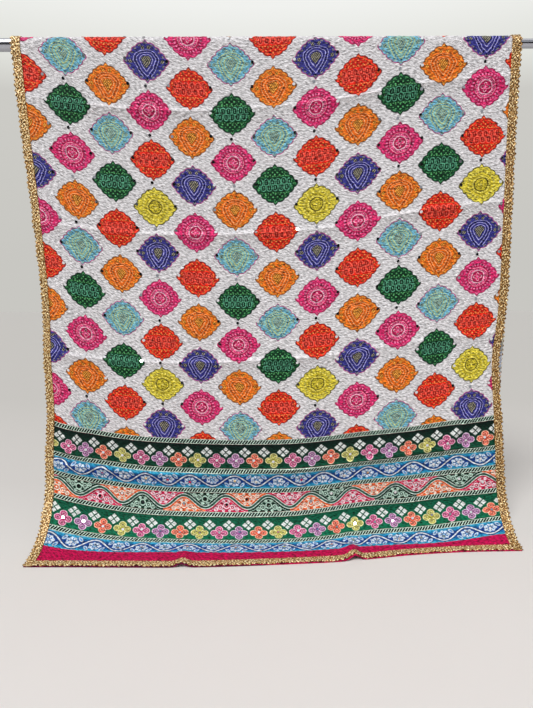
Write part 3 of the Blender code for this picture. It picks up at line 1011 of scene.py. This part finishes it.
def floor_material():
    """Matt painted studio floor: pale, with faint cloudy wear, and painted shade that darkens it towards
    the back.
    """
    material, tree, shader = new_material("matt studio floor paint")
    place = add_node(tree, "ShaderNodeTexCoord").outputs["Object"]
    clouds = add_node(tree, "ShaderNodeTexNoise", {0: place, 2: 1.7, 3: 3.0})
    _, y, _ = numbers(tree, "ShaderNodeSeparateXYZ", place)
    # Painted shade: the floor grows darker the further back it lies, with faint cloudy wear mixed in
    back = y * 0.3 + Number(tree, clouds.outputs[0]) * 0.08 + 0.22
    colour = back.pick([(0.08, "#E2DEDA"), (0.22, "#DBD7D2"), (0.34, "#CFCBC6"), (0.60, "#C5C2BC")])
    set_inputs(tree, shader, {"Base Color": colour, "Roughness": 0.7})
    return material


def odd(number):
    """The nearest odd whole number of grid lines."""
    return int(number) // 2 * 2 + 1


def crease_rows(start, end, count):
    """Places along the cloth for a grid's rows, more than twice as close at the packet creases."""
    place = np.linspace(start, end, 4001)
    near = sum(np.exp(-((place - crease) / CREASE_ROWS_REACH) ** 2) for crease in CREASES)
    total = np.cumsum(1 + CREASE_ROWS * near)
    return np.interp(np.linspace(total[0], total[-1], count), total, place)


def length(name, description, default, most=10.0, precision=4):
    """A length that a user may change, in metres."""
    return bpy.props.FloatProperty(name=name, description=description, default=default,
                                   min=0.0, max=most, unit="LENGTH", precision=precision)


def angle(name, description, degrees):
    """An angle that a user may change, given in degrees."""
    return bpy.props.FloatProperty(name=name, description=description,
                                   default=np.radians(degrees), subtype="ANGLE")


class StoleCloth(bpy.types.PropertyGroup):
    """How the cloth is made"""
    shell: length("Cloth thickness", "How thick the shell of cloth is", 0.0010, 0.0015)
    crinkle: length("Crinkle", "How far the crinkle stands out or in", 0.00050, 0.001, 5)
    step_along: length("Step along", "Spacing of the grid's rows", 0.0019, 0.02)
    step_across: length("Step across", "Spacing of the grid's columns", 0.0032, 0.02)
    hem_turn: length("Hem showing", "How far the front hem shows past its lace", 0.0038, 0.01)


class StoleTrim(bpy.types.PropertyGroup):
    """What is sewn on the cloth"""
    lace_width: length("Lace width", "From the plain edge to the tips of the scallops", 0.018, 0.05)
    overhang: length("Overhang", "How far the scallops stand past the cloth's edge", 0.003, 0.01)
    scallop_pitch: length("Scallop pitch", "From one scallop to the next", 0.0090, 0.03)
    scallop_depth: length("Scallop depth", "How deep the notches between scallops are", 0.0030, 0.005)
    mirror_width: length("Mirror width", "Width of a foil disc across", 0.0056, 0.02)
    mirror_height: length("Mirror thickness", "Thickness of a foil disc", 0.0006, 0.002)


class StoleRod(bpy.types.PropertyGroup):
    """The telescopic rod"""
    diameter: length("Rod diameter", "Width of the steel rod across", 2 * ROD_BOX[1].z, 0.06)
    length: length("Rod length", "Length of the steel rod", ROD_BOX[1].x - ROD_BOX[0].x, 3.0, 3)
    narrow_diameter: length("Narrow diameter", "Width of the tube that slides out", 0.016, 0.05)
    narrow_from: length("Narrow from", "Where the wide tube ends, right of the middle", 0.440, 0.6, 3)
    chamfer: length("End chamfer", "Chamfer round each end of the rod", 0.0012, 0.005)
    sides: bpy.props.IntProperty(
        name="Sides", description="Number of flats that make the rod round", default=96, min=16, max=256)


class StoleStage(bpy.types.PropertyGroup):
    """The light, the backdrop and the camera"""
    backdrop: bpy.props.FloatVectorProperty(
        name="Backdrop", description="Colour of the pale studio round the stole",
        subtype="COLOR", size=4, default=linear("#F1F2EF"), min=0.0, max=1.0)
    key_strength: bpy.props.FloatProperty(
        name="Key light", description="Strength of the far light in front", default=2.8, min=0.0)
    key_angle: angle("Key width", "How wide the key light looks from the stole", 24)
    fill_strength: bpy.props.FloatProperty(
        name="Fill light", description="Strength of the even light from all round", default=0.36, min=0.0)
    lens: bpy.props.FloatProperty(
        name="Lens", description="Focal length of the camera", default=27.05, unit="CAMERA")
    distance: length("Camera distance", "From the camera to the front of the rod", 1.034)
    height: length("Camera height", "Height of the camera over the floor", 0.523)
    tilt: angle("Camera tilt", "How far the camera looks down", 8.8)
    roll: angle("Camera roll", "How far the camera leans to its right", 0.15)


class STOLE_OT_cloth(bpy.types.Operator):
    """Makes the cloth, in four stretches that meet on its packet creases"""
    bl_idname = "stole.cloth"
    bl_label = "Make the cloth"

    def execute(self, context):
        sizes = context.scene.stole_cloth
        pattern = make_print()
        materials = [cotton_material(pattern, False), cotton_material(pattern, True)]
        seams = (-sizes.hem_turn, *SEAMS[1:])
        over_rod = ("front_fall", "over_rod", "back_fall")
        nodes = (("front_fall",), ("front_fall",), over_rod, ("back_fall",))
        columns = odd(CLOTH_WIDTH / sizes.step_across)
        for number, replaced in enumerate(nodes):
            start = seams[number] + (NORMAL_STEP / 2 if number else 0)
            end = seams[number + 1] - (NORMAL_STEP / 2 if number < 3 else 0)
            rows = odd((end - start) / sizes.step_along)
            across = np.linspace(-CLOTH_WIDTH / 2, CLOTH_WIDTH / 2, columns)[None, :]
            along = crease_rows(start, end, rows)[:, None]
            relief = sizes.crinkle * crinkle(across, along, CRINKLE_SEED, CRINKLE_WAVES)
            outside = sizes.shell - SOLID_WALL / 2 + relief
            outer = cloth_offset(across, along, outside)
            inner = cloth_offset(across, along, np.full((rows, columns), REVERSE_LIFT - SOLID_WALL / 2))
            flat = np.stack(print_place(across, along), axis=-1)
            piece = add_shell(f"cloth_stretch_{number + 1}", outer, inner, flat, materials)
            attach(piece, "root")
            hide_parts(*replaced)
        return {"FINISHED"}


def lace_strip(name, sizes, run, place_of, materials, seed):
    """A strip of lace laid on the cloth.

    Across it, w runs from the plain edge to the scallops, whose edge is the lace width
    less the depth times 0.5 + 0.5 cos(2 pi s / pitch). The outer face is a plait of slanting
    ridges and a round cord along the scallops, and the whole strip cockles: a sum of
    slow sines that grows towards the scallops.
    """
    draw = np.random.default_rng(seed)
    rows = odd((run[1] - run[0]) / LACE_ROW)
    s = np.linspace(run[0], run[1], rows)[:, None]
    share = np.array(LACE_SHARES)[None, :]
    notch = 0.5 + 0.5 * np.cos(2 * np.pi * s / sizes.scallop_pitch)
    edge = sizes.lace_width - sizes.scallop_depth * notch
    w = share * edge
    swings = [0, 0]
    for _ in range(LACE_SWINGS):
        for place, waves in enumerate((COCKLE_WAVES, SWAY_WAVES)):
            turn = 2 * np.pi * s / draw.uniform(*waves)
            swings[place] = swings[place] + np.sin(turn + draw.uniform(0, 2 * np.pi))
    cockle, sway = swings
    w = w + SWAY * sway * share
    from_strand = np.abs((w + PLAIT_WIDTH / 2) % PLAIT_WIDTH - PLAIT_WIDTH / 2)
    plait = np.cos(2 * np.pi * (s + from_strand) / PLAIT_PITCH)
    cord = np.exp(-((w - edge + CORD_INSET) / CORD_HALF_WIDTH) ** 2)
    cockle = COCKLE * (cockle + COCKLE_RAISED) * share ** 2
    seat = bpy.context.scene.stole_cloth.shell - SOLID_WALL / 2 + LACE_LIFT
    face = seat + LACE_THICKNESS + PLAIT_HEIGHT * plait * (1 - cord) + CORD_HEIGHT * cord + cockle
    face = face - np.where(share * (1 - share) > 0, 0, PLAIT_HEIGHT)
    across, along = place_of(w, s + 0 * w)
    outer = cloth_offset(across, along, face)
    inner = cloth_offset(across, along, seat + cockle * 0.9 + 0 * w)
    flat = np.stack(np.broadcast_arrays(w, s), axis=-1)
    strip = add_shell(name, outer, inner, flat, materials)
    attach(strip, "root")
    return strip


class STOLE_OT_lace(bpy.types.Operator):
    """Makes the gota lace along the four edges"""
    bl_idname = "stole.lace"
    bl_label = "Make the lace"

    def execute(self, context):
        sizes = context.scene.stole_trim
        plain_edge = CLOTH_WIDTH / 2 + sizes.overhang - sizes.lace_width
        ends = (-sizes.overhang, CLOTH_LENGTH + sizes.overhang)
        hem_edge = sizes.lace_width - sizes.overhang
        inner = plain_edge - SEAM_GAP
        laces = {
            "left": (ends, lambda w, s: (-plain_edge - w, ends[1] + ends[0] - s), 11),
            "right": (ends, lambda w, s: (plain_edge + w, s), 12),
            "front_hem": ((-inner, inner), lambda w, s: (s, hem_edge - w), 13),
            "back_hem": ((-inner, inner), lambda w, s: (-s, CLOTH_LENGTH - hem_edge + w), 14),
        }
        for side, (run, place_of, seed) in laces.items():
            # Painted shade on the right lace and painted light on the hem laces, given through lift
            finish = lace_material({"left": 0.0, "right": -0.10}.get(side, 0.06))
            strip = lace_strip(f"{side}_gota_lace", sizes, run, place_of, [finish], seed)
            if side in ("left", "right"):
                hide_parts(*[f"{side}_lace_{part}" for part in ("front", "over", "back")])
            else:
                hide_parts(f"{side}_lace")
        return {"FINISHED"}


def mirror_places():
    """Where the mirrors are in the print, as across and up from the front hem, in metres."""
    draw = np.random.default_rng(MIRROR_SEED)
    places = []
    half = CLOTH_WIDTH / 2 - MIRROR_MARGIN
    for column in range(-7, 7):
        for row in range(-1, 16):
            x = FIRST_COLUMN + column * COLUMN_PITCH
            y = FIRST_ROW + row * ROW_PITCH + (ROW_PITCH / 2 if column % 2 == 0 else 0)
            for dx, dy in MIRROR_TIPS:
                if dy > 0 or column % 2:
                    places.append((x + dx, y + dy, 0))
    for band in (0.0, BORDER_REPEAT):
        for number in range(-13, 14):
            places.append((number * FLOWER_PITCH, FLOWER_FOOT + 17.5 + band, 1))
        for number in range(-11, 12):
            places.append((VINE_START + number * VINE_PITCH / 2, VINE_MIDDLE + band, 1))
    for number in range(-13, 14):
        high = 7.5 if number % 2 else -4.5
        places.append((WAVE_START + number * WAVE_PITCH / 2, WAVE_MIDDLE + high, 1))
    for x, y, in_border in list(places):
        if in_border:
            places.append((x, CLOTH_LENGTH * 1000 - y, 1))
    found = np.array(places) / (1000, 1000, 1)
    found[:, :2] += draw.normal(0, MIRROR_DRIFT, (len(found), 2))
    low, high = BORDER_TOP / 1000 + 0.004, CLOTH_LENGTH - BORDER_TOP / 1000 - 0.004
    in_field = (found[:, 1] > low) & (found[:, 1] < high)
    wanted = np.where(found[:, 2] > 0, True, in_field)
    found = found[wanted & (np.abs(found[:, 0]) < half)]
    return found[:, 0], found[:, 1]


class STOLE_OT_mirrors(bpy.types.Operator):
    """Makes the small foil mirrors, one joined piece for each stretch of cloth"""
    bl_idname = "stole.mirrors"
    bl_label = "Make the mirrors"

    def execute(self, context):
        sizes = context.scene.stole_trim
        shell = context.scene.stole_cloth.shell
        materials = [foil_material()]
        across, along = cloth_place(*mirror_places())
        draw = np.random.default_rng(MIRROR_SEED + 1)
        lean = draw.normal(0, np.radians(MIRROR_LEAN), (len(across), 2))
        for number in range(4):
            chosen = (along >= SEAMS[number]) & (along < SEAMS[number + 1])
            points, faces = self.discs(across[chosen], along[chosen], lean[chosen], sizes, shell)
            piece = add_piece(f"mirrors_{number + 1}", points, faces, materials)
            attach(piece, "root")
        return {"FINISHED"}

    def discs(self, across, along, lean, sizes, shell):
        """Flat discs: a ring of corners round the face, one round the back, and two middles.

        Each leans a little, so that it stands off the cloth by its lean across the turn.
        """
        sides = MIRROR_SIDES
        turn = np.linspace(0, 2 * np.pi, sides, endpoint=False)
        middle, right, onward, out = cloth_frame(across, along)
        seat = shell - SOLID_WALL / 2 + SEAM_GAP
        cosine, sine = np.cos(turn), np.sin(turn)
        way = right[:, None] * cosine[None, :, None] + onward[:, None] * sine[None, :, None]
        tilt = lean[:, :1] * cosine + lean[:, 1:] * sine
        radius = sizes.mirror_width / 2
        ring = middle[:, None] + way * radius + out[:, None] * (seat + tilt * radius)[..., None]
        thick = out[:, None] * sizes.mirror_height
        heart = middle[:, None] + out[:, None] * seat
        points = np.concatenate([ring + thick, ring, heart + thick, heart], axis=1)
        side = np.arange(sides)
        after = (side + 1) % sides
        below, after_below = side + sides, after + sides
        one = triangles((side, after, 2 * sides), (after_below, below, 2 * sides + 1),
                        (side, below, after_below), (side, after_below, after))
        each = np.arange(len(across))[:, None, None] * (2 * sides + 2)
        return points.reshape(-1, 3), (one[None] + each).reshape(-1, 3)


class STOLE_OT_rod(bpy.types.Operator):
    """Makes the polished rod: a profile of radii turned round the X axis"""
    bl_idname = "stole.rod"
    bl_label = "Make the rod"

    def execute(self, context):
        sizes = context.scene.stole_rod
        half, radius, narrow = sizes.length / 2, sizes.diameter / 2, sizes.narrow_diameter / 2
        chamfer, step = sizes.chamfer, sizes.narrow_from
        profile = (
            (-half, 0.0),
            (-half, radius - chamfer),
            (-half + chamfer, radius),
            (step - chamfer, radius),
            (step, radius - chamfer),
            (step, narrow),
            (half - chamfer, narrow),
            (half, narrow - chamfer),
            (half, 0.0),
        )
        x, r = np.array(profile).T
        turn = np.linspace(0, 2 * np.pi, sizes.sides, endpoint=False)
        across, r = x[:, None], r[:, None]
        grid = np.stack(np.broadcast_arrays(across, r * np.cos(turn), r * np.sin(turn)), -1)
        ring = grid[1:-1]
        count = ring.shape[0] * sizes.sides
        points = np.concatenate([ring.reshape(-1, 3), grid[:1, 0], grid[-1:, 0]])
        corner = np.arange(count).reshape(ring.shape[0], sizes.sides)
        after = np.roll(corner, -1, axis=1)
        a, b = corner[:-1].ravel(), corner[1:].ravel()
        c, d = after[1:].ravel(), after[:-1].ravel()
        ends = (after[0], corner[0], count), (corner[-1], after[-1], count + 1)
        faces = triangles((a, d, c), (a, c, b), *ends)
        rod = add_piece("steel_rod", points, faces, [steel_material()], sharp=30)
        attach(rod, "root")
        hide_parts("rod")
        return {"FINISHED"}


class STOLE_OT_declare(bpy.types.Operator):
    """Does nothing: every piece stays as the other makers left it"""
    bl_idname = "stole.declare"
    bl_label = "Declare the cloth"

    def execute(self, context):
        return {"FINISHED"}


class STOLE_OT_stage(bpy.types.Operator):
    """Makes the floor, the soft lights, the pale backdrop and the camera"""
    bl_idname = "stole.stage"
    bl_label = "Make the stage"

    def execute(self, context):
        look = context.scene.stole_stage
        ground = CREST_RISE - CREST_TO_GROUND - FLOOR_GAP
        corners = np.array([(x * FLOOR_REACH, y * FLOOR_REACH, ground) for x, y in FLOOR_WAYS])
        floor = add_piece("floor", corners, SQUARE, [floor_material()])
        self.add_key_light(look, self.add_cards())
        context.scene.world = self.studio(look)
        context.scene.view_settings.view_transform = "Standard"
        camera = bpy.data.cameras.new("camera")
        camera.lens = look.lens
        camera.sensor_width = 36.0
        holder = bpy.data.objects.new("camera", camera)
        holder.location = (0.0, -WRAP_RADIUS - look.distance, ground + look.height)
        holder.rotation_euler = (np.pi / 2 - look.tilt, look.roll, 0.0)
        context.scene.collection.objects.link(holder)
        context.scene.camera = holder
        return {"FINISHED"}

    def add_key_light(self, look, cards):
        """A wide light far off, high in front of the stole and a little to the left.

        It shines through the cards, so they throw no shadows on the floor behind the camera.
        """
        light = bpy.data.lights.new("key light", "SUN")
        light.energy = look.key_strength
        light.angle = look.key_angle
        holder = bpy.data.objects.new("key light", light)
        holder.rotation_euler = Vector(KEY_LIGHT_WAY).to_track_quat("-Z", "Y").to_euler()
        bpy.context.scene.collection.objects.link(holder)
        passed = bpy.data.collections.new("cards that the key light passes")
        for card in cards:
            passed.objects.link(card)
        for entry in passed.collection_objects:
            entry.light_linking.link_state = "EXCLUDE"
        holder.light_linking.blocker_collection = passed

    def studio(self, look):
        """The pale wall that the camera sees, darker near and below the horizon as painted shade and
        brighter towards the top, and an even dim fill.
        """
        world = bpy.data.worlds.new("pale studio")
        world.use_nodes = True
        tree = world.node_tree
        tree.nodes.clear()
        way = add_node(tree, "ShaderNodeTexCoord").outputs["Generated"]
        _, _, rise = numbers(tree, "ShaderNodeSeparateXYZ", way)
        # Painted shade: the wall is darker low down and near the horizon, and paler towards the top
        wall = (rise * 1.4 + 0.2).pick([(0.22, "#C8C7C2"), (0.59, "#CCCBC6"), (0.66, "#E2E3DD"),
                                        (0.70, "#E5E6E1"), (0.78, look.backdrop)])
        seen = add_node(tree, "ShaderNodeBackground", {0: wall, 1: 1.0}).outputs[0]
        fill = add_node(tree, "ShaderNodeBackground", {0: "#F4F5FA", 1: look.fill_strength}).outputs[0]
        camera_ray = add_node(tree, "ShaderNodeLightPath").outputs["Is Camera Ray"]
        mixed = add_node(tree, "ShaderNodeMixShader", {0: camera_ray, 1: fill, 2: seen}).outputs[0]
        add_node(tree, "ShaderNodeOutputWorld", {0: mixed})
        return world

    def add_cards(self):
        """Dark cards behind the camera and bright ones, for the mirrors and the rod to show.

        The bright ones light nothing else.
        """
        cards = []
        for left, right, y0, z0, y1, z1, brightness in CARDS:
            corners = np.array([(left, y0, z0), (left, y1, z1), (right, y1, z1), (right, y0, z0)])
            kind = "bright diffuser cloth" if brightness else "unlit black cloth"
            material, tree, shader = new_material(kind)
            set_inputs(tree, shader, {"Base Color": "#141416", "Emission Color": "#FFFFFF",
                                      "Emission Strength": brightness, "Roughness": 1.0})
            card = add_piece("card", corners, SQUARE, [material])
            card.visible_camera = False
            card.visible_diffuse = not brightness
            card.visible_shadow = not brightness
            cards.append(card)
        return cards


class STOLE_PT_panel(bpy.types.Panel):
    """The stole's sizes and its makers"""
    bl_label = "Mirror work stole"
    bl_idname = "STOLE_PT_panel"
    bl_space_type = "VIEW_3D"
    bl_region_type = "UI"
    bl_category = "Stole"

    def draw(self, context):
        for group, (_, names) in GROUPS.items():
            box = self.layout.box()
            settings = getattr(context.scene, group)
            for setting in settings.bl_rna.properties:
                if setting.identifier not in ("rna_type", "name"):
                    box.prop(settings, setting.identifier)
            for name in names:
                box.operator(name)


GROUPS = {
    "stole_rod": (StoleRod, ("stole.rod",)),
    "stole_cloth": (StoleCloth, ("stole.cloth",)),
    "stole_trim": (StoleTrim, ("stole.lace", "stole.mirrors", "stole.declare")),
    "stole_stage": (StoleStage, ("stole.stage",)),
}
CLASSES = (
    StoleRod, StoleCloth, StoleTrim, StoleStage, STOLE_OT_rod, STOLE_OT_cloth, STOLE_OT_lace,
    STOLE_OT_mirrors, STOLE_OT_declare, STOLE_OT_stage, STOLE_PT_panel,
)


def register():
    """Adds the classes, and the sizes to the scene."""
    for one in CLASSES:
        bpy.utils.register_class(one)
    for name, (group, _) in GROUPS.items():
        setattr(bpy.types.Scene, name, bpy.props.PointerProperty(type=group))


def unregister():
    """Takes away what register adds."""
    for name in GROUPS:
        delattr(bpy.types.Scene, name)
    for one in reversed(CLASSES):
        bpy.utils.unregister_class(one)


def main():
    """Makes every piece and the stage."""
    register()
    bpy.ops.stole.rod()
    bpy.ops.stole.cloth()
    bpy.ops.stole.lace()
    bpy.ops.stole.mirrors()
    bpy.ops.stole.declare()
    bpy.ops.stole.stage()


if __name__ == "__main__":
    main()
